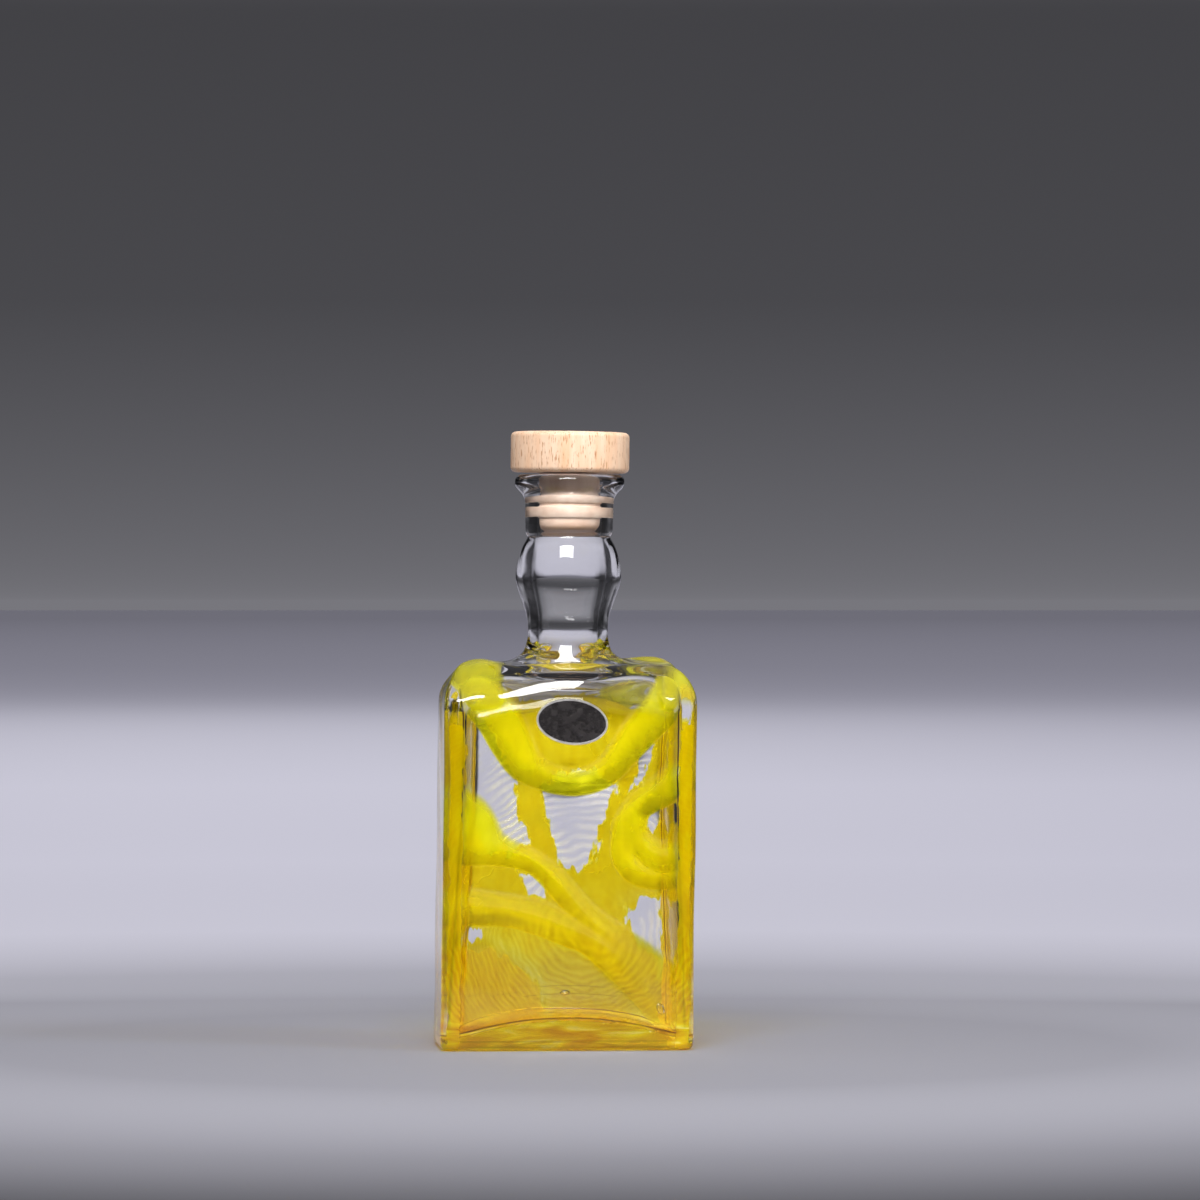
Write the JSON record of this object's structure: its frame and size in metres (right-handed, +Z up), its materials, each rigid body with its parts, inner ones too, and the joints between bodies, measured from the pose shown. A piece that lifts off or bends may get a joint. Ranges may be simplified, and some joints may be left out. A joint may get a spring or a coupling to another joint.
{
  "type": "glass decanter",
  "caption": "Rectangular hand-blown glass decanter with yellow swirled trails, a bulged neck, flared lip, bare oval foil label and turned wooden stopper, for serving drinks.",
  "frame": {"origin": "middle of the base, on the surface it stands on", "axes": "+Z up along the neck, +X along the wide side to the right seen from the front, -Y towards the front with the label"},
  "size_m": [0.1116, 0.0656, 0.2673],
  "materials": {
    "trailed_glass": "clear thick glass with fused yellow trails",
    "beech": "fine turned, unvarnished",
    "seal": "pale satin",
    "dark_foil": "glossy embossed foil"
  },
  "bodies": {
    "root": {"bottle": "trailed_glass", "stopper_cap": "beech", "stopper_plug": "seal", "label": "dark_foil"}
  },
  "joints": []
}
